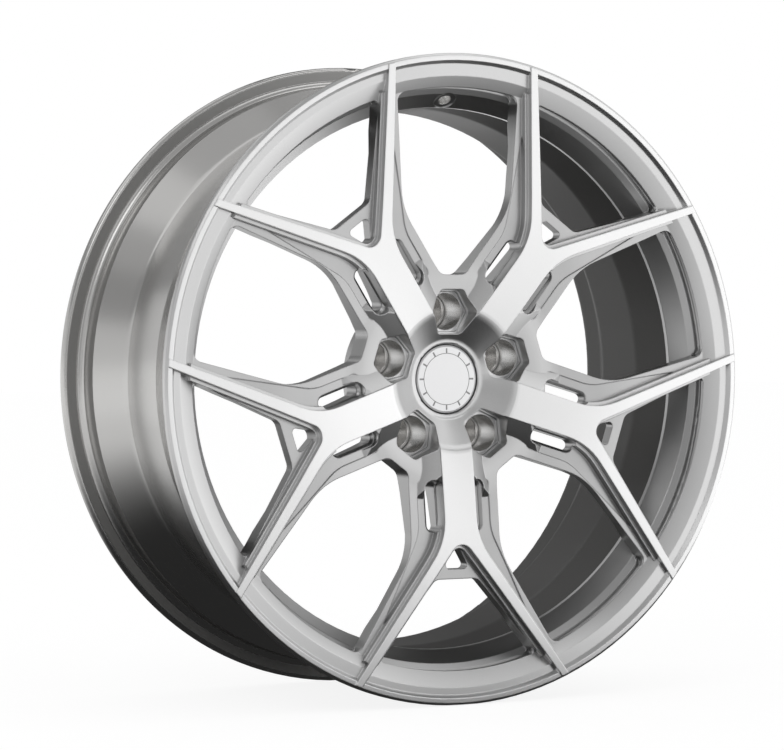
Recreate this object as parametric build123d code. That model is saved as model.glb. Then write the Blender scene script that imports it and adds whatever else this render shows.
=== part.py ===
from build123d import *
import os
from math import cos, radians, sin, tan

# Forged five-spoke racing wheel, 20 x 8 J, bolt circle 5 x 114.3.
# Millimetres. The origin is on the wheel axis, half way between the two rim edges. +Y points
# inboard (towards the car), -Y is the street side, +Z is up. Outlines are drawn on the XZ plane
# with the spoke, or the window between two spokes, pointing up, and are turned into place.
# A drop is a distance behind the tips of the spokes, which are the street-side edge of the wheel.

# ---- rim: standard 20 inch J flange contour ---------------------------------------------------
BEAD_SEAT_R = 256.4          # 20 inch bead seat, at the flange root
FLANGE_H = 17.5              # J flange height above the bead seat
RIM_WIDTH = 203.2            # 8 inches between the flange faces
FLANGE_T = 10.6              # thickness of each flange, to the outer edge of the wheel
FLANGE_ROUND = 6.5           # root radius between bead seat and flange
CREST_ROUND = 3.5            # tyre-side radius of the flange crest
EDGE_ROUND = 4.5             # outer radius of the inboard flange
SEAT_LEN = 19.6              # bead seat length
SEAT_TAPER = 5.0             # degrees
HUMP_H = 2.0                 # safety hump above the seat
HUMP_RUN = 3.0               # from the end of the seat to the top of the hump
HUMP_BACK = 6.0              # from the end of the seat to the start of the slope behind the hump
HUMP_ROUND = 1.2
SLOPE_TOP = 1.9              # the slope behind the hump starts this far below the bead seat
SLOPE_ROUND = 6.0
WELL_DEPTH = 19.2            # drop centre below the bead seat
WELL_FRONT = 89.6            # street-side flange to the start of the drop centre
WELL_REAR = 49.6             # inboard flange to the end of the drop centre
WELL_FRONT_ROUND = 20.0
WELL_REAR_ROUND = 12.0
RIM_WALL = 4.9               # barrel wall in the drop centre
REAR_WALL = 6.2              # barrel wall under the inboard bead seat and at the seam
REAR_SLOPE_LAG = 6.0         # the inside slope of the barrel starts this far before the outside
REAR_BORE_ROUND = 9.0
MOUTH_ROUND = 2.5            # inside edge of the inboard flange
MOUTH_BEVEL = 7.7            # radial width of the bevel inside the inboard flange
SEAM = 45.6                  # street-side flange to the seam between barrel and forged face

# ---- street-side lip ---------------------------------------------------------------------------
LIP_EDGE = 2.0               # bevel on the outer edge of the lip
LIP_BAND_W = 5.9             # outer band, bevel included
LIP_DROP = 1.2
LIP_STEP = 3.5               # step from the band down to the bright ledge
LIP_STEP_RUN = 2.7
LEDGE_W = 10.2               # ledge between the spokes
LEDGE_FALL = 0.5
PLATE_W = 9.4                # sloping plate inside the ledge
PLATE_DROP = 10.8            # drop of the inner edge of the plate
PLATE_T = 3.5                # thickness of the plate over its undercut
UNDERCUT = 4.3               # depth of the undercut behind the plate
UNDERCUT_ROUND = 2.0
UNDERCUT_FALL = 1.2
BAND_STEP = 4.9              # from the inner edge of the plate in to the inner barrel band
BAND_BEVEL = 3.3             # rise of the bevel at the outer edge of that band
BAND_DROP = 26.5
BAND_W = 10.7                # inner barrel band, radially
BAND_RUN = 15.0              # and along the axis
BAND_LIP = 4.0               # straight wall behind the band

# ---- spokes ------------------------------------------------------------------------------------
SPOKES = 5
FIRST_SPOKE = 54.0           # degrees anticlockwise from +X, seen from the street side
COLUMN_W = 30.4              # machined flat of a spoke, before it forks
FORK_V = 135.2               # where the outer edges of the flat turn into the arms
CROTCH_V = 132.3             # where the inner edges of the two arms would meet
ARM_ANGLE = 36.9             # outer edge of an arm to the middle line of the spoke, in degrees
ARM_TAPER = 1.5              # degrees between the two edges of an arm
FORK_ROUND = 60.0            # sweep of the flat's outer edge into the arm
CROTCH_ROUND = 11.0
FLAT_R0 = 58.9               # where the hub dish ends and the flat starts
FLAT_DROP_0 = 14.0           # drop of the flat there
FLAT_R1 = 82.0
FLAT_DROP_1 = 10.3
FLAT_SWEEP_1 = 800.0         # sweep that joins the slopes on both sides
FLAT_R2 = 142.4              # and at the fork
FLAT_DROP_2 = 2.4
FLAT_SWEEP_2 = 600.0
STEP_DEPTH = 5.5             # first step down beside the arms
STEP_W = 3.2
FLUTE_W = 19.4               # floor between the column and the side rib
FLUTE_DEPTH = 12.2           # this floor, below the flat
FLUTE_START = 84.0
FLUTE_BEND = 129.0
FLUTE_ROUND = 40.0
FLUTE_CORNER = 6.0
FLUTE_TIP_V = 219.0          # where the flute runs out against the flat
SHOULDER_HUB = 9.2           # shoulder and web level below the flat, at the hub
SHOULDER_MID = 11.5          # at the ribs and the fork
SHOULDER_RUN = 18.0          # radial run between the two
SHOULDER_SWEEP = 60.0
SHOULDER_LAP = 7.0           # overlap of the shoulder with the hub, inside the bolt circle
RIB_W = 7.9                  # side rib outside the flute
RIB_END = 146.4              # where the outer edge of the rib turns into the arm
SHOULDER_TAPER = 4.7         # degrees by which the shoulder's edge closes on the flat
INNER_TAPER = 2.7            # degrees by which the arm's inner side opens from the flat's edge
ARM_BACK = [                 # back of the spokes: radius and drop, from the lip to the hub
    (222.0, 26.2),
    (205.0, 22.7),
    (165.0, 23.7),
    (137.0, 26.2),
    (104.0, 35.7),
]
SLOT_GAP = 0.8               # between the column and the slot
SLOT_W = 9.5
SLOT_START = 87.5
SLOT_LEN = 40.5
SLOT_FLARE = 3.0             # the rim of the slot opens by as much as it is deep
SLOT_FLARE_LAP = 1.5         # the flare starts this much inside the slot
WEB_HALF = 20.2              # web across the fork: half of its outer edge
WEB_LEN = 36.1               # from the crotch to this edge
EYE_GAP = 3.7                # rounded triangular eye in that web, from the crotch
EYE_LEN = 24.0
EYE_HALF = 12.5
EYE_ROUND = 3.6
WINDOW_HUB_V = 88.5          # inner edge of the large windows
WINDOW_ROUND = 9.0
WINDOW_TIP_ROUND = 8.0
FORK_TIP_ROUND = 4.0
FAIRING_ANGLE = 27.0         # slope of the web between the column and the bolt pocket, in degrees
FAIRING_SINK = 1.0           # it starts this far below the flat
FAIRING_LAP = 8.0            # overlap of that web with the pocket
FAIRING_LEAD = 9.0           # it starts to run out this far before the slot
FAIRING_RAMP = 22.0          # length of the ramp by which it runs out beside the slot

# ---- hub ---------------------------------------------------------------------------------------
PCD = 114.3
WHEEL_OFFSET = 35.0          # ET: mounting face in front of the middle of the rim
PAD_R = 75.0
PAD_DRAFT = 2.0
PAD_H = 23.0                 # straight side of the mounting pad
PAD_FLARE = 11.0
PAD_FLARE_H = 12.0
CENTRE_BORE_R = 36.55
CENTRE_BORE_DEPTH = 12.5
BORE_CHAMFER = 1.5
HUB_DROP = 29.8              # raised ring around the cap
HUB_RING_W = 3.5
HUB_RING_ROUND = 1.5
DISH_ROOT_ROUND = 6.0        # hollow round from the ring up into the dish
DISH_ROUND = 20.0            # round over from the dish to the flat
CAP_RECESS_R = 29.9
CAP_RECESS_DEPTH = 3.9       # below the raised ring
CAP_BORE_R = 27.5
CAP_BORE_LEN = 12.5
HUB_CAVITY_R = 31.0
CAVITY_RUN = 2.0
POCKET_FLAT = 18.8           # apothem of the six-sided bolt pocket
POCKET_DEPTH = 1.2           # its ledge lies this far behind the raised ring
POCKET_ROUND = 5.0
LEDGE_FLAT = 17.0            # apothem of the second six-sided step
LEDGE_DEPTH = 2.6
LEDGE_ROUND = 4.0
BOLT_BORE_R = 15.5
SEAT_H = 15.0                # top of the bolt seat above the mounting face
INSERT_R = 15.0
INSERT_BODY = 12.0
INSERT_NOSE_R = 10.5
INSERT_LAND_R = 13.3
INSERT_WALL = 1.5
INSERT_SETBACK = 0.3
NOSE_LAP = 5.0
BOLT_HOLE_R = 7.75
CONE_ANGLE = 60.0
PRESS_GAP = 0.05
VALVE_HOLE_R = 5.65
VALVE_SPOT_R = 9.8
VALVE_SPOT_DEPTH = 0.9
VALVE_SPOT_CLEAR = 8.0

# ---- hub centring ring -------------------------------------------------------------------------
RING_CLEARANCE = 0.1
RING_BORE_R = 33.3
RING_LEN = 11.0
RING_SETBACK = 0.6
RING_CHAMFER = 1.2

# ---- centre cap --------------------------------------------------------------------------------
CAP_CLEARANCE = 1.1          # between the edge of the cap and its recess
CAP_FLANGE_T = 2.4
CAP_FLOAT = 0.3
CAP_EDGE = 0.4
SKIRT_CLEARANCE = 0.5
SKIRT_WALL = 1.8
SKIRT_LEN = 13.0
SKIRT_LEAD = 1.5             # lead-in at the tips of the fingers
SKIRT_LEAD_W = 0.8
FINGERS = 8
FINGER_GAP = 3.0
FINGER_ROOT = 2.0
SPRING_WIRE_R = 0.8
SPRING_CLEARANCE = 0.1
SPRING_GROOVE = 0.6
SPRING_SETBACK = 3.0
CAP_RIM = 1.0                # rim of the cap body round the disc
DISC_T = 0.9
DISC_GAP = 0.1
DISC_PROUD = 0.2
DISC_EDGE = 0.3
DIAL_MARGIN = 1.7            # plain edge of the disc outside the ticks
DIAL_LINE_W = 0.5
DIAL_DEPTH = 0.35
DIAL_TICKS = 12
TICK_LEN = 4.2
TICK_W = 1.4
SEAL_WIRE_R = 0.45
SEAL_CLEARANCE = 0.05

# ---- derived sizes -----------------------------------------------------------------------------
LIP_R = BEAD_SEAT_R + FLANGE_H
FLANGE_Y = RIM_WIDTH / 2
EDGE_Y = FLANGE_Y + FLANGE_T
TIP_Y = -EDGE_Y
WELL_R = BEAD_SEAT_R - WELL_DEPTH
WELL_FRONT_Y = WELL_FRONT - FLANGE_Y
WELL_REAR_Y = FLANGE_Y - WELL_REAR
SEAT_END_Y = FLANGE_Y - SEAT_LEN
SEAM_Y = SEAM - FLANGE_Y
LEDGE_OUT_R = LIP_R - LIP_BAND_W - LIP_STEP_RUN
LEDGE_IN_R = LEDGE_OUT_R - LEDGE_W
PLATE_IN_R = LEDGE_IN_R - PLATE_W
PLATE_Y = TIP_Y + PLATE_DROP
UNDERCUT_R = PLATE_IN_R + UNDERCUT
BAND_OUT_R = PLATE_IN_R - BAND_STEP
BAND_IN_R = BAND_OUT_R - BAND_W
BAND_OUT_Y = TIP_Y + BAND_DROP
BAND_IN_Y = BAND_OUT_Y + BAND_RUN
BAND_EDGE_Y = BAND_OUT_Y - BAND_BEVEL
HALF_COLUMN = COLUMN_W / 2
SLOT_IN = HALF_COLUMN + SLOT_GAP
FLUTE_HALF = HALF_COLUMN + FLUTE_W
RIB_HALF = FLUTE_HALF + RIB_W
WEB_V = CROTCH_V + WEB_LEN
MOUNT_Y = -WHEEL_OFFSET
HUB_FRONT_Y = TIP_Y + HUB_DROP
CAP_RECESS_Y = HUB_FRONT_Y + CAP_RECESS_DEPTH
BOLT_R = PCD / 2
SEAT_TOP_Y = MOUNT_Y - SEAT_H
SEAT_FLOOR_Y = SEAT_TOP_Y + INSERT_BODY
CAP_R = CAP_RECESS_R - CAP_CLEARANCE
CAP_BACK_Y = CAP_RECESS_Y - CAP_FLOAT
CAP_FACE_Y = CAP_BACK_Y - CAP_FLANGE_T
SKIRT_R = CAP_BORE_R - SKIRT_CLEARANCE
SKIRT_IN_R = SKIRT_R - SKIRT_WALL
SKIRT_TIP_Y = CAP_BACK_Y + SKIRT_LEN
SPRING_Y = SKIRT_TIP_Y - SPRING_SETBACK
DISC_R = CAP_R - CAP_RIM - DISC_GAP
DISC_FACE_Y = CAP_FACE_Y - DISC_PROUD
TURN = 360.0 / SPOKES
FIRST_WINDOW = FIRST_SPOKE + TURN / 2
BEYOND = LIP_R + EDGE_Y      # cutters reach this far past the wheel


def front_plane(y):
    """Sketch plane seen from the street side: local x is +X, local y is +Z, extrudes to -Y."""
    return Plane(origin=(0, y, 0), x_dir=(1, 0, 0), z_dir=(0, -1, 0))


def rounded(points, radii):
    """Closed outline through the points, each corner rounded by its radius."""
    face = make_face(Polyline(*points, close=True))
    for point, radius in zip(points, radii):
        if radius:
            corner = face.vertices().sort_by_distance(Vector(*point))[0]
            face = fillet(corner, radius)
    return face


def turned(points, radii=None):
    """Solid of revolution about the wheel axis from an outline of (radius, y) points."""
    face = rounded(points, radii) if radii else make_face(Polyline(*points, close=True))
    return revolve(face, axis=Axis.Y)


def prism(face, y_back=BEYOND, y_front=-BEYOND):
    """Extrude an outline along the wheel axis, from y_back forward to y_front."""
    return extrude(front_plane(y_back) * face, y_back - y_front)


def at_angle(shape, angle):
    """Turn a shape that points up so that it points at an angle anticlockwise from +X."""
    return Rot(0, 90 - angle, 0) * shape


def around(shape, first):
    """The shape once per spoke, the first copy at the given angle."""
    return [at_angle(shape, first + i * TURN) for i in range(SPOKES)]


def both_sides(shape):
    """The shape and its mirror image across the middle of the spoke."""
    return [shape, mirror(shape, about=Plane.YZ)]


def between(a, b, at):
    """Value at a position on the straight line through two (position, value) points."""
    return a[1] + (b[1] - a[1]) * (at - a[0]) / (b[0] - a[0])


def flat_y(r):
    """Height of the machined flat at a radius."""
    knots = [(FLAT_R0, TIP_Y + FLAT_DROP_0), (FLAT_R1, TIP_Y + FLAT_DROP_1),
             (FLAT_R2, TIP_Y + FLAT_DROP_2), (LIP_R, TIP_Y)]
    if r < FLAT_R1:
        return between(knots[0], knots[1], r)
    if r < FLAT_R2:
        return between(knots[1], knots[2], r)
    return between(knots[2], knots[3], r)


# ---- turned envelopes of the face --------------------------------------------------------------
def back_profile():
    """Back of the spokes and of the hub, from the lip in to the cap."""
    pad_foot = MOUNT_Y - PAD_H
    return [
        (UNDERCUT_R, BAND_OUT_Y),
        (BAND_OUT_R, BAND_OUT_Y),
        *[(r, TIP_Y + drop) for r, drop in ARM_BACK],
        (PAD_R + PAD_DRAFT + PAD_FLARE, pad_foot - PAD_FLARE_H),
        (PAD_R + PAD_DRAFT, pad_foot),
        (PAD_R, MOUNT_Y),
        (CAP_RECESS_R, MOUNT_Y),
    ]


def flat_body():
    """Everything behind the machined flat and the hub dish, in front of the back of the spokes."""
    tip_r = LIP_R - LIP_EDGE
    front = [
        (CAP_RECESS_R, HUB_FRONT_Y),
        (CAP_RECESS_R + HUB_RING_W, HUB_FRONT_Y),
        (FLAT_R0, flat_y(FLAT_R0)),
        (FLAT_R1, flat_y(FLAT_R1)),
        (FLAT_R2, flat_y(FLAT_R2)),
    ]
    radii = [HUB_RING_ROUND, DISH_ROOT_ROUND, DISH_ROUND, FLAT_SWEEP_1, FLAT_SWEEP_2]
    rest = [(tip_r, flat_y(tip_r)), (tip_r, -FLANGE_Y), (UNDERCUT_R, -FLANGE_Y), *back_profile()]
    return turned(front + rest, radii + [0] * len(rest))


def sunk_body(front):
    """The same, sunk below the flat: the front is a list of (radius, depth, rounding)."""
    points = [(r, flat_y(r) + depth) for r, depth, _ in front]
    back = back_profile()
    return turned(points + back, [sweep for _, _, sweep in front] + [0] * len(back))


# ---- outlines of one spoke, pointing up --------------------------------------------------------
def arm_edge(v, grow=0.0):
    """Outer edge of the machined flat beyond the fork."""
    return HALF_COLUMN + grow + (v - FORK_V) * tan(radians(ARM_ANGLE))


def arm_inner_edge(v):
    """Inner edge of the machined flat beyond the crotch."""
    return (v - CROTCH_V) * tan(radians(ARM_ANGLE + ARM_TAPER))


def flat_outline(grow=0.0):
    """Machined flat: a column that forks into two arms that run out past the lip."""
    right = [
        (HALF_COLUMN, CAP_RECESS_R),
        (HALF_COLUMN, FORK_V),
        (arm_edge(BEYOND), BEYOND),
        (arm_inner_edge(BEYOND), BEYOND),
    ]
    left = [(-x, v) for x, v in reversed(right)]
    radii = [0, FORK_ROUND, 0, 0]
    face = rounded([*right, (0, CROTCH_V), *left], [*radii, CROTCH_ROUND, *reversed(radii)])
    return offset(face, grow, kind=Kind.ARC) if grow else face


def fork_window_outline(outer_r):
    """Window inside a fork, out to a radius."""
    reach = WEB_HALF + (BEYOND - WEB_V) * tan(radians(ARM_ANGLE + ARM_TAPER + INNER_TAPER))
    wedge = Polyline((-WEB_HALF, WEB_V), (WEB_HALF, WEB_V), (reach, BEYOND), (-reach, BEYOND), close=True)
    face = make_face(wedge) & Circle(outer_r)
    face = fillet(face.vertices().sort_by(Axis.Y)[:2], WINDOW_ROUND)
    tips = face.vertices().sort_by(Axis.X)
    return fillet([tips[0], tips[-1]], FORK_TIP_ROUND)


def to_window(x, v):
    """A point beside a spoke, in the frame of the window next to it."""
    a = radians(TURN / 2)
    return (x * cos(a) - v * sin(a), x * sin(a) + v * cos(a))


def side_window_outline(outer_r):
    """Large window between two neighbouring spokes, pointing up, out to a radius."""
    a = radians(TURN / 2)
    hub = to_window(RIB_HALF, (WINDOW_HUB_V - RIB_HALF * sin(a)) / cos(a))
    bend = to_window(RIB_HALF, RIB_END)
    far = to_window(RIB_HALF + (BEYOND - RIB_END) * tan(radians(ARM_ANGLE - SHOULDER_TAPER)), BEYOND)
    left = [hub, bend, far]
    right = [(-x, v) for x, v in reversed(left)]
    face = make_face(Polyline(*left, *right, close=True)) & Circle(outer_r)
    tips = face.vertices().sort_by(Axis.X)
    face = fillet([tips[0], tips[-1]], WINDOW_TIP_ROUND)
    for corner, radius in ((bend, FORK_ROUND), (hub, WINDOW_ROUND)):
        pair = [face.vertices().sort_by_distance(Vector(s * corner[0], corner[1]))[0] for s in (-1, 1)]
        face = fillet(pair, radius)
    return face


def slot_outline():
    """Slot between the column and one side rib, with round ends."""
    centre = Pos(SLOT_IN + SLOT_W / 2, SLOT_START + SLOT_LEN / 2)
    return centre * Rot(0, 0, 90) * SlotOverall(SLOT_LEN, SLOT_W)


def slot_flare():
    """Flare that opens the rim of a slot, square to the slope of the spoke."""
    rise = flat_y(FLAT_R2) - flat_y(FLAT_R1)
    run = FLAT_R2 - FLAT_R1
    floor_y = flat_y(FLAT_R1) + SHOULDER_MID + SLOT_FLARE + SLOT_FLARE_LAP
    rim = Plane(origin=(0, floor_y, FLAT_R1), x_dir=(1, 0, 0), z_dir=(0, -run, rise))
    start = offset(slot_outline(), -SLOT_FLARE_LAP)
    return extrude(rim * Pos(0, -FLAT_R1) * start, SLOT_FLARE_LAP + SLOT_FLARE + STEP_DEPTH, taper=-45)


def flute_outline():
    """Flute outside the column: a floor beside the slot that narrows to a point along the arm."""
    points = [
        (HALF_COLUMN / 2, FLUTE_START),
        (FLUTE_HALF, FLUTE_START),
        (FLUTE_HALF, FLUTE_BEND),
        (arm_edge(FLUTE_TIP_V), FLUTE_TIP_V),
        (HALF_COLUMN / 2, FLUTE_BEND),
    ]
    return rounded(points, [0, FLUTE_CORNER, FLUTE_ROUND, 0, 0])


def eye_outline():
    """Small rounded triangular eye in the web of the fork."""
    tip = CROTCH_V + EYE_GAP
    points = [(-EYE_HALF, tip + EYE_LEN), (EYE_HALF, tip + EYE_LEN), (0, tip)]
    return rounded(points, [EYE_ROUND] * len(points))


# ---- features of the face ----------------------------------------------------------------------
def shoulder():
    """Body of the five spokes around the machined flats, with its windows, slots and flutes."""
    hub_r = BOLT_R - SHOULDER_LAP
    body = sunk_body([
        (hub_r, SHOULDER_HUB + flat_y(FLAT_R0) - flat_y(hub_r), 0),
        (FLAT_R0, SHOULDER_HUB, SHOULDER_SWEEP),
        (FLAT_R1, SHOULDER_HUB, SHOULDER_SWEEP),
        (FLAT_R1 + SHOULDER_RUN, SHOULDER_MID, SHOULDER_SWEEP),
        (FLAT_R2, SHOULDER_MID, FLAT_SWEEP_2),
        (PLATE_IN_R, PLATE_Y - flat_y(PLATE_IN_R), 0),
        (UNDERCUT_R, PLATE_Y - flat_y(UNDERCUT_R), 0),
    ])
    floor = [(r, flat_y(r) + FLUTE_DEPTH) for r in (CAP_RECESS_R, FLAT_R2, LIP_R)]
    over_flutes = turned([*floor, (LIP_R, -BEYOND), (CAP_RECESS_R, -BEYOND)], [0, FLAT_SWEEP_2, 0, 0, 0])
    flute = prism(flute_outline()) & over_flutes
    body -= around(prism(side_window_outline(PLATE_IN_R)), FIRST_WINDOW)
    for cutter in (prism(fork_window_outline(PLATE_IN_R)), prism(eye_outline()),
                   *both_sides(flute), *both_sides(prism(slot_outline())), *both_sides(slot_flare())):
        body -= around(cutter, FIRST_SPOKE)
    return body


def arm_step():
    """Narrow step beside the arms, from the outer ends of the slots to the lip."""
    start = SLOT_START + SLOT_LEN - SLOT_W / 2
    body = sunk_body([
        (CAP_RECESS_R, STEP_DEPTH, 0),
        (FLAT_R1, STEP_DEPTH, FLAT_SWEEP_1),
        (FLAT_R2, STEP_DEPTH, FLAT_SWEEP_2),
        (UNDERCUT_R, STEP_DEPTH, 0),
    ])
    beyond = Pos(0, start + BEYOND / 2) * Rectangle(2 * BEYOND, BEYOND)
    step = body & prism(flat_outline(STEP_W) & beyond, 0)
    return step - both_sides(prism(slot_outline()))


def fairings():
    """Sloping webs from the column down to the bolt pockets, on both sides of it."""
    along = Plane(origin=(0, flat_y(FLAT_R0) + FAIRING_SINK, FLAT_R0), x_dir=(1, 0, 0),
                  z_dir=(0, flat_y(FLAT_R1) - flat_y(FLAT_R0), FLAT_R1 - FLAT_R0))
    root = HALF_COLUMN - FAIRING_SINK
    foot = FLUTE_HALF + FAIRING_SINK
    deep = FLUTE_DEPTH + FAIRING_SINK
    fall = (foot - HALF_COLUMN) * tan(radians(FAIRING_ANGLE))
    corners = [(root, 0), (HALF_COLUMN, 0), (foot, fall), (foot, deep), (root, deep)]
    section = make_face(Polyline(*corners, close=True))
    start = BOLT_R - FAIRING_LAP - FLAT_R0
    top = SLOT_START - FAIRING_LEAD
    low = top + FAIRING_RAMP
    web = extrude(along.offset(start) * section, low - FLAT_R0 - start) & flat_body()
    floor_y = flat_y(low) + FLUTE_DEPTH
    corners = [(flat_y(top), top), (floor_y, low), (floor_y, BEYOND), (-BEYOND, BEYOND), (-BEYOND, top)]
    web -= extrude(Plane.YZ * make_face(Polyline(*corners, close=True)), BEYOND)
    web -= prism(offset(slot_outline(), SLOT_FLARE))
    return Part() + both_sides(web)


# ---- lip and bead seat of the face -------------------------------------------------------------
def seat_r(from_flange):
    """Radius of the tapered bead seat at a distance from its flange."""
    return BEAD_SEAT_R - from_flange * tan(radians(SEAT_TAPER))


def well_slope_r(y):
    """Outside of the barrel between the drop centre and the street-side hump."""
    top = (HUMP_BACK - SEAT_END_Y, BEAD_SEAT_R - SLOPE_TOP)
    return between((WELL_FRONT_Y, WELL_R), top, y)


def lip_ring():
    """Street-side rim section: seam, bead seat, flange, lip band, ledge and inner band."""
    band_y = TIP_Y + LIP_DROP
    return turned([
        (BAND_IN_R, BAND_IN_Y),
        (BAND_IN_R, BAND_IN_Y + BAND_LIP),
        (well_slope_r(SEAM_Y) - REAR_WALL, SEAM_Y),
        (well_slope_r(SEAM_Y), SEAM_Y),
        (BEAD_SEAT_R - SLOPE_TOP, HUMP_BACK - SEAT_END_Y),
        (seat_r(SEAT_LEN) + HUMP_H, HUMP_RUN - SEAT_END_Y),
        (seat_r(SEAT_LEN), -SEAT_END_Y),
        (BEAD_SEAT_R, -FLANGE_Y),
        (LIP_R, -FLANGE_Y),
        (LIP_R, band_y + LIP_EDGE),
        (LIP_R - LIP_EDGE, band_y),
        (LIP_R - LIP_BAND_W, band_y),
        (LEDGE_OUT_R, band_y + LIP_STEP),
        (LEDGE_IN_R, band_y + LIP_STEP + LEDGE_FALL),
        (PLATE_IN_R, PLATE_Y),
        (PLATE_IN_R, BAND_EDGE_Y),
        (BAND_OUT_R, BAND_OUT_Y),
    ], [0, 0, 0, 0, SLOPE_ROUND, HUMP_ROUND, HUMP_ROUND, FLANGE_ROUND, CREST_ROUND, 0, 0, 0, 0, 0, 0, 0, 0])


def plate_cutter():
    """Inside each fork the lip is one plain slope: this removes the ledge above it."""
    band_y = TIP_Y + LIP_DROP
    front_y = band_y - LIP_STEP
    slope = turned([(LIP_R - LIP_BAND_W, band_y), (PLATE_IN_R, PLATE_Y), (PLATE_IN_R, front_y),
                    (LIP_R - LIP_BAND_W, front_y)])
    near = FORK_V + COLUMN_W
    inside = [(arm_inner_edge(near), near), (arm_inner_edge(BEYOND), BEYOND)]
    outline = inside + [(-x, v) for x, v in reversed(inside)]
    return slope & prism(make_face(Polyline(*outline, close=True)), 0)


def undercut():
    """Groove behind the lip plate, in the windows only."""
    front_y = PLATE_Y + PLATE_T
    inner_r = BAND_OUT_R
    groove = turned([(inner_r, front_y), (UNDERCUT_R, front_y), (UNDERCUT_R, BAND_EDGE_Y - UNDERCUT_FALL),
                     (PLATE_IN_R, BAND_EDGE_Y), (inner_r, BAND_EDGE_Y)],
                    [0, UNDERCUT_ROUND, UNDERCUT_ROUND, 0, 0])
    sides = around(prism(side_window_outline(UNDERCUT_R), 0), FIRST_WINDOW)
    forks = around(prism(fork_window_outline(UNDERCUT_R), 0), FIRST_SPOKE)
    return [groove & window for window in sides + forks]


# ---- hub cutters -------------------------------------------------------------------------------
def bolt_pocket():
    """Six-sided pocket, round bore, seat for the insert and its nose hole, pointing up."""
    flats = cos(radians(30))
    wide = fillet(RegularPolygon(POCKET_FLAT / flats, 6).vertices(), POCKET_ROUND)
    ledge = fillet(RegularPolygon(LEDGE_FLAT / flats, 6).vertices(), LEDGE_ROUND)
    cutter = prism(wide, HUB_FRONT_Y + POCKET_DEPTH)
    cutter += prism(ledge, HUB_FRONT_Y + POCKET_DEPTH + LEDGE_DEPTH)
    cutter += prism(Circle(BOLT_BORE_R), SEAT_TOP_Y)
    cutter += prism(Circle(INSERT_R + PRESS_GAP), SEAT_FLOOR_Y)
    cutter += prism(Circle(INSERT_NOSE_R + PRESS_GAP), MOUNT_Y + NOSE_LAP)
    return Pos(0, 0, BOLT_R) * cutter


def centre_cutter():
    """Cap recess, cap bore, cavity and centre bore, all about the wheel axis."""
    cap_back = CAP_RECESS_Y + CAP_BORE_LEN
    bore_front = MOUNT_Y - CENTRE_BORE_DEPTH
    return turned([
        (0, -BEYOND),
        (CAP_RECESS_R, -BEYOND),
        (CAP_RECESS_R, CAP_RECESS_Y),
        (CAP_BORE_R, CAP_RECESS_Y),
        (CAP_BORE_R, cap_back),
        (HUB_CAVITY_R, cap_back + CAVITY_RUN),
        (HUB_CAVITY_R, bore_front),
        (CENTRE_BORE_R, bore_front),
        (CENTRE_BORE_R, MOUNT_Y - BORE_CHAMFER),
        (CENTRE_BORE_R + BORE_CHAMFER, MOUNT_Y),
        (CENTRE_BORE_R + BORE_CHAMFER, BEYOND),
        (0, BEYOND),
    ])


def valve_cutter():
    """Valve hole square through the inner band at the top of the wheel, with a spot face."""
    middle = ((BAND_OUT_R + BAND_IN_R) / 2, (BAND_OUT_Y + BAND_IN_Y) / 2)
    plane = Plane(origin=(0, middle[1], middle[0]), x_dir=(1, 0, 0), z_dir=(0, -BAND_W, -BAND_RUN))
    spot = plane.offset(-VALVE_SPOT_DEPTH) * Circle(VALVE_SPOT_R)
    hole = extrude(plane * Circle(VALVE_HOLE_R), BAND_DROP, both=True)
    return hole + extrude(spot, VALVE_SPOT_CLEAR)


# ---- the pieces --------------------------------------------------------------------------------
def forged_face():
    """Hub, five forked spokes, lip and street-side bead seat: one forging, finish machined."""
    face = shoulder() + (lip_ring() - around(plate_cutter(), FIRST_SPOKE))
    body = flat_body()
    for shape in (arm_step(), body & prism(flat_outline(), 0), fairings()):
        face += around(shape, FIRST_SPOKE)
    face += body & prism(Circle(BOLT_R), 0)
    face -= undercut()
    face -= around(bolt_pocket(), FIRST_WINDOW)
    face -= centre_cutter()
    face -= valve_cutter()
    return face


def rim_barrel():
    """Drop centre, inboard bead seat and inboard flange, in one turned ring."""
    bore_r = BEAD_SEAT_R - REAR_WALL
    return turned([
        (well_slope_r(SEAM_Y) - REAR_WALL, SEAM_Y),
        (well_slope_r(SEAM_Y), SEAM_Y),
        (WELL_R, WELL_FRONT_Y),
        (WELL_R, WELL_REAR_Y),
        (BEAD_SEAT_R - SLOPE_TOP, SEAT_END_Y - HUMP_BACK),
        (seat_r(SEAT_LEN) + HUMP_H, SEAT_END_Y - HUMP_RUN),
        (seat_r(SEAT_LEN), SEAT_END_Y),
        (BEAD_SEAT_R, FLANGE_Y),
        (LIP_R, FLANGE_Y),
        (LIP_R, EDGE_Y),
        (bore_r + MOUTH_BEVEL, EDGE_Y),
        (bore_r, FLANGE_Y),
        (bore_r, SEAT_END_Y - HUMP_BACK),
        (WELL_R - RIM_WALL, WELL_REAR_Y - REAR_SLOPE_LAG),
        (WELL_R - RIM_WALL, WELL_FRONT_Y),
    ], [0, 0, WELL_FRONT_ROUND, WELL_REAR_ROUND, SLOPE_ROUND, HUMP_ROUND, HUMP_ROUND, FLANGE_ROUND, CREST_ROUND,
        EDGE_ROUND, MOUTH_ROUND, REAR_BORE_ROUND, REAR_BORE_ROUND, WELL_REAR_ROUND, WELL_FRONT_ROUND])


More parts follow.
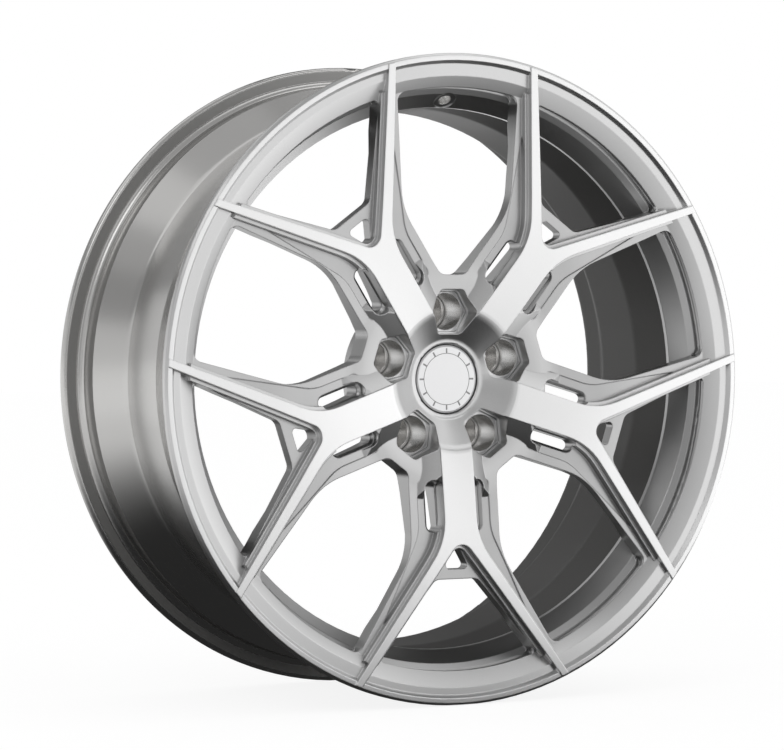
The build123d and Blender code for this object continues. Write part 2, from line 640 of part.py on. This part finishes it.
def bolt_seat():
    """Steel insert with a 60 degree cone for the wheel bolt, pointing up."""
    cone_len = (INSERT_LAND_R - BOLT_HOLE_R) / tan(radians(CONE_ANGLE / 2))
    cone_y = SEAT_TOP_Y + INSERT_WALL
    nose_y = MOUNT_Y - INSERT_SETBACK
    return Pos(0, 0, BOLT_R) * turned([
        (INSERT_LAND_R, SEAT_TOP_Y),
        (INSERT_R, SEAT_TOP_Y),
        (INSERT_R, SEAT_FLOOR_Y),
        (INSERT_NOSE_R, SEAT_FLOOR_Y),
        (INSERT_NOSE_R, nose_y),
        (BOLT_HOLE_R, nose_y),
        (BOLT_HOLE_R, cone_y + cone_len),
        (INSERT_LAND_R, cone_y),
    ])


def hub_centring_ring():
    """Ring that fits the wheel's centre bore to the spigot of the hub."""
    outer = CENTRE_BORE_R - RING_CLEARANCE
    back = MOUNT_Y - RING_SETBACK
    return turned([
        (RING_BORE_R, back - RING_LEN),
        (outer, back - RING_LEN),
        (outer, back - RING_CHAMFER),
        (outer - RING_CHAMFER, back),
        (RING_BORE_R + RING_CHAMFER, back),
        (RING_BORE_R, back - RING_CHAMFER),
    ])


def cap_body():
    """Moulded cap: flange with a seat for the face disc, and a skirt slit into snap fingers."""
    disc_back = DISC_FACE_Y + DISC_T
    disc_side = DISC_R + DISC_GAP
    groove_r = SKIRT_IN_R + SPRING_GROOVE
    groove = SPRING_WIRE_R + SPRING_CLEARANCE
    body = turned([
        (0, disc_back),
        (disc_side, disc_back),
        (disc_side, CAP_FACE_Y),
        (CAP_R - CAP_EDGE, CAP_FACE_Y),
        (CAP_R, CAP_FACE_Y + CAP_EDGE),
        (CAP_R, CAP_BACK_Y),
        (SKIRT_R, CAP_BACK_Y),
        (SKIRT_R, SKIRT_TIP_Y - SKIRT_LEAD),
        (SKIRT_R - SKIRT_LEAD_W, SKIRT_TIP_Y),
        (SKIRT_IN_R, SKIRT_TIP_Y),
        (SKIRT_IN_R, SPRING_Y + groove),
        (groove_r, SPRING_Y + groove),
        (groove_r, SPRING_Y - groove),
        (SKIRT_IN_R, SPRING_Y - groove),
        (SKIRT_IN_R, CAP_BACK_Y),
        (0, CAP_BACK_Y),
    ])
    slit = Box(FINGER_GAP, SKIRT_LEN, 4 * SKIRT_WALL)
    slit = Pos(0, CAP_BACK_Y + FINGER_ROOT + SKIRT_LEN / 2, SKIRT_R) * slit
    return body - [at_angle(slit, i * 360.0 / FINGERS) for i in range(FINGERS)]


def cap_face_disc():
    """Metal face of the cap, engraved with a plain dial: a fine ring with ticks outside it."""
    back = DISC_FACE_Y + DISC_T
    disc = turned([(0, DISC_FACE_Y), (DISC_R - DISC_EDGE, DISC_FACE_Y), (DISC_R, DISC_FACE_Y + DISC_EDGE),
                   (DISC_R, back), (0, back)])
    ring_r = DISC_R - DIAL_MARGIN - TICK_LEN
    ring = Circle(ring_r + DIAL_LINE_W / 2) - Circle(ring_r - DIAL_LINE_W / 2)
    tick = Pos(0, ring_r + TICK_LEN / 2) * Rectangle(TICK_W, TICK_LEN)
    dial = ring + [Rot(0, 0, i * 360.0 / DIAL_TICKS) * tick for i in range(DIAL_TICKS)]
    return disc - prism(dial, DISC_FACE_Y + DIAL_DEPTH)


def wire_ring(centre_r, wire_r, y):
    """Round wire ring about the wheel axis."""
    return revolve(Pos(centre_r, y) * Circle(wire_r), axis=Axis.Y)


def cap_spring_ring():
    """Wire ring that spreads the cap's fingers."""
    centre_r = SKIRT_IN_R + SPRING_GROOVE - SPRING_CLEARANCE - SPRING_WIRE_R
    return wire_ring(centre_r, SPRING_WIRE_R, SPRING_Y)


def cap_seal_ring():
    """Black ring stretched round the edge of the cap, on the floor of its recess."""
    seat = SEAL_CLEARANCE + SEAL_WIRE_R
    return wire_ring(CAP_R + seat, SEAL_WIRE_R, CAP_RECESS_Y - seat)


os.makedirs("parts", exist_ok=True)
export_step(forged_face(), "parts/forged_face.step")
export_step(rim_barrel(), "parts/rim_barrel.step")
for number, seat in enumerate(around(bolt_seat(), FIRST_WINDOW), start=1):
    export_step(seat, f"parts/bolt_seat_{number}.step")
export_step(hub_centring_ring(), "parts/hub_centring_ring.step")
export_step(cap_body(), "parts/cap_body.step")
export_step(cap_face_disc(), "parts/cap_face_disc.step")
export_step(cap_spring_ring(), "parts/cap_spring_ring.step")
export_step(cap_seal_ring(), "parts/cap_seal_ring.step")
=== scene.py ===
import math

import bpy
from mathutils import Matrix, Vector


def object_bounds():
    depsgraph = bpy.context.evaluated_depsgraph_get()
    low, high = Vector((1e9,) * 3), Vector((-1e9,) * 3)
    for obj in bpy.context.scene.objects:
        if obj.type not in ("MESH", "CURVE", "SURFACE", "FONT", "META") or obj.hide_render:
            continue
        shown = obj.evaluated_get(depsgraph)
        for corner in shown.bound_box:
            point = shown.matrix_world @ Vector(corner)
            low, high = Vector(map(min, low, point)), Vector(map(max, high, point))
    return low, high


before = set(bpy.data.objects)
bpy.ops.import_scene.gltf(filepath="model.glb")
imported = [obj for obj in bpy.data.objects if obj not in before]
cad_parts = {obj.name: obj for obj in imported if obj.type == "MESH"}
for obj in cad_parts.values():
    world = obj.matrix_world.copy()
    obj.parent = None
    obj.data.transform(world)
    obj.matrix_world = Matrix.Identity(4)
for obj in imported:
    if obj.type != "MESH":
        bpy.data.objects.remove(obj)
cad_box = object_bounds()

# ---- forged face -------------------------------------------------------------------------------
# Hub, five forked spokes and the stepped lip: one aluminium forging, sprayed satin silver. The
# flats of the spokes are machined again after that, so they are brighter. The mounting pad, the
# valve hole and the bolt bores stay as the tool cut them. The recesses below the flats get painted
# shade: the silver is coloured darker with depth, away from the dish round the cap.
BOLTS = 5
BOLT_CIRCLE_R = 0.05715
BOLT_BORE_R = 0.0158
POCKET_FLOOR_Y = -0.0795
POCKET_FLOOR_SOFT = 0.0006
PAD_Y = -0.0355
PAD_R = 0.0752
VALVE_Y = -0.0782
VALVE_Z = 0.23545
VALVE_LEAN = Vector((0.0, 0.5807, 0.8141))
VALVE_BORE_R = 0.0060
VALVE_FROM_Z = 0.22
EDGE_ROUND = 0.0013
MASK_SOFT = 0.0002
TOOL_RINGS = 9000.0
# front of the spokes: radius and y of the corners of its profile
FLAT_LINE = [(0.0600, -0.0984), (0.0820, -0.1019), (0.1424, -0.1098), (0.2739, -0.1122)]
FLAT_DEPTH = 0.0025
FLAT_SOFT = 0.0005
FLAT_FROM_R = 0.057
FLAT_FACING = -0.97
RECESS_SHADE_START = 0.002
RECESS_SHADE_END = 0.016
DISH_R = 0.052
DISH_SOFT = 0.006


class Wire:
    """One value in a material, so that shader maths can be written as plain sums."""

    def __init__(self, tree, socket):
        self.tree = tree
        self.socket = socket

    def node(self, kind, output=0, inputs=(), **settings):
        """Any other node: inputs is a list of (input, value or Wire)."""
        made = self.tree.nodes.new(kind)
        for name, setting in settings.items():
            setattr(made, name, setting)
        for key, value in inputs:
            if isinstance(value, Wire):
                self.tree.links.new(value.socket, made.inputs[key])
            else:
                made.inputs[key].default_value = value
        return Wire(self.tree, made.outputs[output])

    def maths(self, operation, *values):
        return self.node("ShaderNodeMath", inputs=list(enumerate(values)), operation=operation)

    def __add__(self, other):
        return self.maths("ADD", self, other)

    def __radd__(self, other):
        return self.maths("ADD", other, self)

    def __sub__(self, other):
        return self.maths("SUBTRACT", self, other)

    def __rsub__(self, other):
        return self.maths("SUBTRACT", other, self)

    def __mul__(self, other):
        return self.maths("MULTIPLY", self, other)

    def __rmul__(self, other):
        return self.maths("MULTIPLY", other, self)

    def __truediv__(self, other):
        return self.maths("DIVIDE", self, other)

    def __rtruediv__(self, other):
        return self.maths("DIVIDE", other, self)


def coordinate(tree, kind):
    """A texture coordinate: Object is the place on the piece, Normal the way its surface faces."""
    return Wire(tree, tree.nodes.new("ShaderNodeTexCoord").outputs[kind])


def axes(vector):
    """The x, y and z of a vector."""
    split = vector.node("ShaderNodeSeparateXYZ", inputs=[(0, vector)]).socket.node
    return [Wire(vector.tree, split.outputs[axis]) for axis in range(3)]


def new_finish(name):
    """A new material: its shader, the place on the piece, and that place's x, y and z."""
    finish = bpy.data.materials.new(name)
    finish.use_nodes = True
    place = coordinate(finish.node_tree, "Object")
    return finish, finish.node_tree.nodes["Principled BSDF"], place, *axes(place)


def ramp(value, start, end, curve="LINEAR"):
    """0 at start and 1 at end."""
    inputs = [("Value", value), ("From Min", start), ("From Max", end)]
    return value.node("ShaderNodeMapRange", inputs=inputs, interpolation_type=curve)


def fade(value, start, end):
    """0 at start and 1 at end, with a smooth change between them."""
    return ramp(value, start, end, "SMOOTHSTEP")


def waves(value, pitch):
    """Fine even rings, as a lathe tool leaves them."""
    return value.node("ShaderNodeMath", inputs=[(0, value * pitch)], operation="SINE")


def grain(place, scale, detail=2.0):
    """Fine even grain between 0 and 1."""
    return place.node("ShaderNodeTexNoise", inputs=[("Vector", place), ("Scale", scale), ("Detail", detail)])


def tint(value, low, high):
    """Colour between two colours, each written out or coming from a Wire."""
    low, high = (side if isinstance(side, Wire) else (*side, 1.0) for side in (low, high))
    return value.node("ShaderNodeMix", 2, [(0, value), (6, low), (7, high)], data_type="RGBA")


def wire_up(shader, **inputs):
    """Join values to the shader's sockets, or set the sockets that stay the same all over."""
    for name, value in inputs.items():
        socket = shader.inputs[name.replace("_", " ")]
        if isinstance(value, Wire):
            value.tree.links.new(value.socket, socket)
        else:
            socket.default_value = value


def bumps(height, strength, depth, edge):
    """Surface relief over softened edges: the depth and the edge radius are in metres."""
    soft = height.node("ShaderNodeBevel", inputs=[("Radius", edge)], samples=6)
    inputs = [("Height", height), ("Strength", strength), ("Distance", depth), ("Normal", soft)]
    return height.node("ShaderNodeBump", inputs=inputs)


def length_of(*parts):
    """Distance from its components."""
    total = parts[0] * parts[0]
    for part in parts[1:]:
        total = total + part * part
    return total.maths("SQRT", total)


def dress(finish, *nodes):
    """Give CAD nodes their finish."""
    for node in nodes:
        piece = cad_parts[node]
        piece.data.materials.clear()
        piece.data.materials.append(finish)


finish, shader, place, x, y, z = new_finish("silver_satin_lacquer")
radius = length_of(x, z)
flake = grain(place, 2600.0, 1.0)
cloud = grain(place, 14.0, 3.0)
silver = tint(flake * 0.7 + cloud * 0.3, (0.56, 0.56, 0.56), (0.70, 0.70, 0.70))
bright = tint(flake * 0.7 + cloud * 0.3, (0.78, 0.78, 0.78), (0.90, 0.90, 0.90))

flat_y = FLAT_LINE[0][1]
for (near_r, near_y), (far_r, far_y) in zip(FLAT_LINE, FLAT_LINE[1:]):
    flat_y = flat_y + ramp(radius, near_r, far_r) * (far_y - near_y)
below = y - flat_y
facing = axes(coordinate(place.tree, "Normal"))[1]
flats = fade(below, FLAT_DEPTH, FLAT_DEPTH - FLAT_SOFT) * fade(radius, FLAT_FROM_R, FLAT_LINE[0][0])
flats = flats * fade(facing, FLAT_FACING + 0.02, FLAT_FACING)
# Painted shade: the silver darkens with depth below the spoke flats, where shade falls in the recesses; the
# dish round the cap is left out.
recess_painted_shade = fade(below, RECESS_SHADE_START, RECESS_SHADE_END) * fade(radius, DISH_R - DISH_SOFT, DISH_R + DISH_SOFT)
silver = tint(recess_painted_shade, silver, tint(cloud, (0.38, 0.38, 0.38), (0.46, 0.46, 0.46)))

bolt_holes = None
for number in range(BOLTS):
    angle = math.radians(90 + 360 / BOLTS * number)
    across = length_of(x - BOLT_CIRCLE_R * math.cos(angle), z - BOLT_CIRCLE_R * math.sin(angle))
    near = fade(across, BOLT_BORE_R, BOLT_BORE_R - MASK_SOFT)
    bolt_holes = near if bolt_holes is None else bolt_holes.maths("MAXIMUM", bolt_holes, near)
bores = bolt_holes * fade(y, POCKET_FLOOR_Y, POCKET_FLOOR_Y + POCKET_FLOOR_SOFT)

from_y = y - VALVE_Y
from_z = z - VALVE_Z
along = from_y * VALVE_LEAN.y + from_z * VALVE_LEAN.z
valve_r = length_of(x, from_y - along * VALVE_LEAN.y, from_z - along * VALVE_LEAN.z)
valve_hole = fade(valve_r, VALVE_BORE_R, VALVE_BORE_R - MASK_SOFT)
valve_hole = valve_hole * fade(z, VALVE_FROM_Z, VALVE_FROM_Z + 0.001)
pad = fade(y, PAD_Y - MASK_SOFT, PAD_Y) * fade(radius, PAD_R + MASK_SOFT, PAD_R)
bare = pad.maths("MAXIMUM", pad, valve_hole)
rings = waves(radius, TOOL_RINGS)

bored = tint(cloud, (0.60, 0.597, 0.59), (0.66, 0.657, 0.65))
turned = tint(rings, (0.78, 0.775, 0.765), (0.86, 0.855, 0.845))
colour = tint(bare, tint(bores, tint(flats, silver, bright), bored), turned)
rough = 0.27 + flake * 0.05 + flats * 0.07 - bare * 0.05 - bores * 0.02
relief = flake * (1.0 - bare) + rings * bare
wire_up(shader, Base_Color=colour, Metallic=1.0, Roughness=rough, Coat_Weight=0.25, Coat_Roughness=0.22,
        Normal=bumps(relief, 0.12, 0.00002, EDGE_ROUND))
dress(finish, "forged_face")

# ---- barrel ------------------------------------------------------------------------------------
# Rolled drop centre and inboard flange. Outside it has a smooth grey silver lacquer, inside a
# coarser dark grey coat that is sprayed on without polishing.
finish, shader, place, x, y, z = new_finish("barrel_grey_lacquer")
radius = length_of(x, z)
facing_x, facing_y, facing_z = axes(coordinate(place.tree, "Normal"))
outside = fade((x * facing_x + z * facing_z) / radius, -0.02, 0.02)
flake = grain(place, 1900.0, 2.0)
cloud = grain(place, 9.0, 3.0)
dark = tint(flake * 0.75 + cloud * 0.25, (0.055, 0.054, 0.052), (0.115, 0.113, 0.109))
grey = tint(flake * 0.4 + cloud * 0.6, (0.53, 0.525, 0.515), (0.62, 0.615, 0.605))
wire_up(shader, Base_Color=tint(outside, dark, grey), Metallic=0.25 + outside * 0.75,
        Roughness=0.55 - outside * 0.36 + flake * 0.04, Coat_Weight=0.2, Coat_Roughness=0.15,
        Normal=bumps(flake, 0.15, 0.00003, 0.0006))
dress(finish, "rim_barrel")

# ---- bolt seats --------------------------------------------------------------------------------
# Turned steel inserts pressed into the hub, each with a 60 degree cone that the wheel bolt sits
# in. Bare metal, with fine tool rings round the cone.
finish, shader, place, x, y, z = new_finish("seat_turned_steel")
rings = waves(y, 12000.0)
wear = grain(place, 420.0, 2.0)
steel = tint(wear * 0.7 + rings * 0.3, (0.66, 0.65, 0.635), (0.76, 0.75, 0.735))
wire_up(shader, Base_Color=steel, Metallic=1.0, Roughness=0.22 + wear * 0.05,
        Normal=bumps(rings, 0.12, 0.00002, 0.0003))
dress(finish, *[f"bolt_seat_{number}" for number in range(1, BOLTS + 1)])

# ---- hub centring ring -------------------------------------------------------------------------
# Plain turned aluminium ring that slips into the centre bore from behind.
finish, shader, place, x, y, z = new_finish("ring_turned_aluminium")
rings = waves(y, TOOL_RINGS)
wear = grain(place, 300.0, 3.0)
alloy = tint(wear, (0.62, 0.625, 0.63), (0.76, 0.765, 0.77))
wire_up(shader, Base_Color=alloy, Metallic=1.0, Roughness=0.28 + wear * 0.1,
        Normal=bumps(rings, 0.2, 0.00002, 0.0003))
dress(finish, "hub_centring_ring")

# ---- centre cap --------------------------------------------------------------------------------
# Moulded cap with a satin aluminium disc bonded on its face, a wire ring behind its fingers and a
# black rubber ring round its edge. The floor of the engraved dial on the disc is coloured darker.
DIAL_OUT_R = 0.0265
DIAL_FLOOR_Y = -0.08105

finish, shader, place, x, y, z = new_finish("cap_moulded_silver")
flake = grain(place, 1500.0, 2.0)
wire_up(shader, Base_Color=tint(flake, (0.56, 0.56, 0.565), (0.66, 0.66, 0.665)), Metallic=0.4,
        Roughness=0.32 + flake * 0.08, Normal=bumps(flake, 0.1, 0.00002, 0.0002))
dress(finish, "cap_body")

finish, shader, place, x, y, z = new_finish("cap_satin_disc")
radius = length_of(x, z)
flake = grain(place, 3200.0, 1.0)
dial = fade(y, DIAL_FLOOR_Y - 0.0003, DIAL_FLOOR_Y - 0.0001)
dial = dial * fade(radius, DIAL_OUT_R, DIAL_OUT_R - MASK_SOFT)
satin = tint(flake, (0.74, 0.74, 0.745), (0.84, 0.84, 0.845))
sunk = tint(flake, (0.24, 0.24, 0.24), (0.34, 0.34, 0.34))
wire_up(shader, Base_Color=tint(dial, satin, sunk), Metallic=1.0, Roughness=0.34 + flake * 0.06,
        Normal=bumps(flake, 0.1, 0.00001, 0.0002))
dress(finish, "cap_face_disc")

finish, shader, place, x, y, z = new_finish("spring_wire")
drawn = grain(place, 900.0, 2.0)
wire_up(shader, Base_Color=tint(drawn, (0.48, 0.48, 0.49), (0.60, 0.60, 0.61)), Metallic=1.0,
        Roughness=0.25 + drawn * 0.1)
dress(finish, "cap_spring_ring")

finish, shader, place, x, y, z = new_finish("seal_rubber")
pores = grain(place, 1400.0, 3.0)
wire_up(shader, Base_Color=tint(pores, (0.018, 0.018, 0.019), (0.035, 0.035, 0.036)), Metallic=0.0,
        Roughness=0.6 + pores * 0.15, Normal=bumps(pores, 0.2, 0.00003, 0.0002))
dress(finish, "cap_seal_ring")

# ---- floor and backdrop ------------------------------------------------------------------------
# White paper floor that the wheel stands on, in a white room. The floor keeps a soft shadow, and
# both look white to the camera and in reflections without adding light to the wheel.
FLOOR_HALF = 9.0
WHITE_SEEN = 0.87


def sheet(name, corners, faces, finish):
    """A sheet of the studio, which is no part of the wheel."""
    mesh = bpy.data.meshes.new(name)
    mesh.from_pydata(corners, [], faces)
    mesh.materials.append(finish)
    made = bpy.data.objects.new(name, mesh)
    bpy.context.scene.collection.objects.link(made)
    return made


def square_sheet(name, half, level, finish):
    """A level square sheet round the middle of the floor."""
    corners = [(across * half, along * half, level) for across, along in ((-1, -1), (1, -1), (1, 1), (-1, 1))]
    return sheet(name, corners, [(0, 1, 2, 3)], finish)


def seen_directly(tree):
    """1 for what the camera sees, also in metal or glass, and 0 for light that falls on things."""
    path = tree.nodes.new("ShaderNodeLightPath")
    seen = Wire(tree, path.outputs["Is Camera Ray"])
    for ray in ("Is Glossy Ray", "Is Transmission Ray"):
        seen = seen.maths("MAXIMUM", seen, Wire(tree, path.outputs[ray]))
    return seen


finish, shader, place, x, y, z = new_finish("white_paper")
paper = grain(place, 60.0, 2.0)
seen = seen_directly(finish.node_tree)
lighting = tint(paper, (0.86, 0.86, 0.86), (0.90, 0.90, 0.90))
looking = tint(paper, (0.24, 0.24, 0.24), (0.26, 0.26, 0.26))
wire_up(shader, Base_Color=tint(seen, lighting, looking), Roughness=0.9, Specular_IOR_Level=0.0,
        Emission_Color=tint(seen, (0.0, 0.0, 0.0), (WHITE_SEEN,) * 3), Emission_Strength=1.0)
floor_z = cad_box[0][2]
square_sheet("paper_floor", FLOOR_HALF, floor_z, finish)

world = bpy.data.worlds.new("white_room")
bpy.context.scene.world = world
world.use_nodes = True
room = world.node_tree.nodes["Background"]
wire_up(room, Color=(1.0, 1.0, 1.0, 1.0), Strength=0.5 + seen_directly(world.node_tree) * 0.5)

# ---- glowing sheets seen in reflections --------------------------------------------------------
# Sheets that glow grey or white hang round the wheel like the cloths of a studio tent, so that the
# metal has something darker, and in places brighter, than the white room to mirror. They are no
# lamps and only reflections show them: their glow paints the reflections in the metal. On the floor
# lies a glowing sheet with the wheel's painted shadow, also seen only in reflections.
TENT_R = 4.0
TENT_ACROSS = 10
TENT_UP = 6
# Floor shade: a painted shadow of the wheel and a painted pool of light to its right, in what the metal
# mirrors of the floor.
SHADE_HALF = 1.4
SHADE_IN = 0.33
SHADE_OUT = 0.88
SHADE_LIFT = 0.0005
SHADE_DARK = 0.03
SHADE_LIGHT = 0.84
SHADE_RIGHT = 0.6            # the floor is this much brighter on the right
# name, brightness, then in degrees: left and right from straight in front, and low and high
TENT = [
    ("left_glow_cloth", 0.62, -80, -40, -4, 30),
    ("camera_glow_cloth", 0.42, -40, -18, -4, 30),
    ("front_glow_cloth", 0.76, -18, 4, -4, 30),
    ("right_glow_valance", 0.20, 4, 40, 16, 30),
    ("right_glow_cloth", 1.00, 76, 110, -4, 30),
    ("left_high_glow_cloth", 0.45, -80, -18, 30, 60),
    ("middle_high_glow_cloth", 0.45, -18, 4, 30, 60),
    ("right_high_glow_cloth", 1.25, 16, 60, 30, 48),
    ("right_far_glow_cloth", 0.90, 60, 120, 30, 60),
    ("front_high_glow_cloth", 0.42, 4, 60, 48, 90),
    ("left_roof_glow_cloth", 0.45, -80, 4, 60, 90),
    ("right_roof_glow_cloth", 1.30, 60, 125, 60, 90),
    ("back_low_glow_cloth", 0.74, -190, -80, 2, 15),
    ("back_band_glow_cloth", 0.34, -190, -80, 15, 30),
    ("back_glow_cloth", 1.00, -190, -120, 30, 44),
    ("back_left_glow_cloth", 0.50, -120, -80, 30, 44),
    ("back_high_glow_cloth", 0.84, -190, -80, 44, 62),
    ("back_roof_glow_cloth", 0.55, -190, -80, 62, 90),
    ("behind_glow_cloth", 0.20, 125, 170, -4, 60),
    ("behind_roof_glow_cloth", 0.42, 125, 170, 60, 90),
]


def glowing(name):
    """A material that only glows: the material, its glow and the place on the piece."""
    finish = bpy.data.materials.new(name)
    finish.use_nodes = True
    tree = finish.node_tree
    tree.nodes.remove(tree.nodes["Principled BSDF"])
    glow = tree.nodes.new("ShaderNodeEmission")
    tree.links.new(glow.outputs[0], tree.nodes["Material Output"].inputs["Surface"])
    return finish, glow, coordinate(tree, "Object")


def only_reflected(made):
    """Let nothing but reflections show a sheet."""
    made.visible_camera = False
    made.visible_diffuse = False
    made.visible_transmission = False
    made.visible_shadow = False


for name, level, left, right, low, high in TENT:
    corners = []
    for row in range(TENT_UP + 1):
        rise = math.radians(low + (high - low) * row / TENT_UP)
        for column in range(TENT_ACROSS + 1):
            turn = math.radians(left + (right - left) * column / TENT_ACROSS)
            spot = Vector((math.sin(turn) * math.cos(rise), -math.cos(turn) * math.cos(rise), math.sin(rise)))
            corners.append(spot * TENT_R)
    faces = []
    for row in range(TENT_UP):
        for column in range(TENT_ACROSS):
            first = row * (TENT_ACROSS + 1) + column
            faces.append((first, first + 1, first + TENT_ACROSS + 2, first + TENT_ACROSS + 1))
    # The sheet's glow is a painted reflection for the metal; it lights nothing.
    finish, glow, place = glowing(name)
    wire_up(glow, Color=(level, level, level, 1.0))
    only_reflected(sheet(name, corners, faces, finish))

# Painted shadow and painted light: a glowing sheet just above the floor, seen only in reflections, dark round
# the wheel and brighter to the right.
finish, glow, place = glowing("floor_shade")
x, y, z = axes(place)
light = SHADE_LIGHT + SHADE_RIGHT * fade(x, 0.35, 0.75)
wire_up(glow, Color=SHADE_DARK + light * fade(length_of(x, y), SHADE_IN, SHADE_OUT))
only_reflected(square_sheet("floor_shade", SHADE_HALF, floor_z + SHADE_LIFT, finish))

# ---- lights ------------------------------------------------------------------------------------
# A large soft box on the right in front of the spokes, and a smaller one high on the left.
def soft_box(name, at, across, up, watts):
    """A rectangular lamp that points at the middle of the wheel."""
    lamp = bpy.data.lights.new(name, "AREA")
    lamp.shape = "RECTANGLE"
    lamp.size = across
    lamp.size_y = up
    lamp.energy = watts
    box = bpy.data.objects.new(name, lamp)
    box.location = at
    box.rotation_euler = Vector(at).to_track_quat("Z", "Y").to_euler()
    bpy.context.scene.collection.objects.link(box)


soft_box("right_box", (2.4, -1.9, 0.3), 2.8, 1.6, 5.0)
soft_box("left_box", (-2.2, -1.8, 2.2), 1.4, 1.4, 8.0)

# ---- camera ------------------------------------------------------------------------------------
# Long lens a little to the left of the wheel's axis and almost level with it.
TURN_LEFT = math.radians(28.03)
LOOK_DOWN = math.radians(1.29)
LENS_MM = 157.96
SENSOR_MM = 36.0
CAMERA_AT = (-1.40987, -2.63125, 0.06901)

lens = bpy.data.cameras.new("camera")
lens.lens = LENS_MM
lens.sensor_width = SENSOR_MM
camera = bpy.data.objects.new("camera", lens)
camera.location = CAMERA_AT
camera.rotation_euler = (math.pi / 2 - LOOK_DOWN, 0.0, -TURN_LEFT)
bpy.context.scene.collection.objects.link(camera)
bpy.context.scene.camera = camera
bpy.context.scene.view_settings.view_transform = "Standard"
